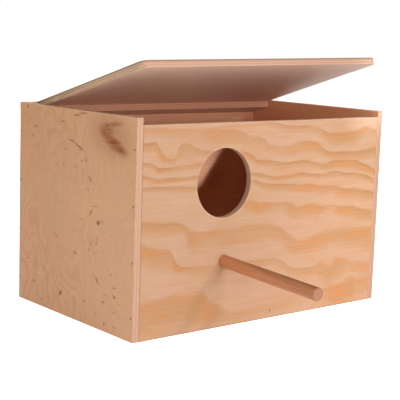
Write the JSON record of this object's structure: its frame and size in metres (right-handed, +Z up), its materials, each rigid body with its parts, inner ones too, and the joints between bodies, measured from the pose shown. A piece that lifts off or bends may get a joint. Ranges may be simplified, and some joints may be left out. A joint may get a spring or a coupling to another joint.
{
  "type": "bird nest box",
  "caption": "Plywood bird nest box with an off-centre round entrance, a dowel perch and a top-opening lid that turns on nails between the side panels.",
  "frame": {"origin": "centre of the base, where the box stands", "axes": "+Z up; -Y towards the front with the entrance and perch; +X to the right as seen from the front"},
  "size_m": [0.314, 0.3251, 0.2491],
  "materials": {
    "side_ply": "satin",
    "front_ply": "satin",
    "floor_ply": "satin",
    "lid_ply": "satin",
    "dowel": "satin",
    "nail_steel": "satin"
  },
  "bodies": {
    "box": {"left_side": "side_ply", "right_side": "side_ply", "front_panel": "front_ply", "back_panel": "side_ply", "floor_panel": "floor_ply", "perch": "dowel", "hinge_pins": "nail_steel", "front_brads": "nail_steel", "back_brads": "nail_steel", "floor_brads": "nail_steel"},
    "lid": {"lid": "lid_ply", "lid_batten": "lid_ply", "lid_brads": "nail_steel"}
  },
  "joints": [
    {"name": "lid_hinge", "type": "hinge", "parent": "box", "child": "lid", "pos_m": [0, 0.0845, 0.19675], "axis": [-1, 0, 0], "range_deg": [-15.3, 123]}
  ]
}
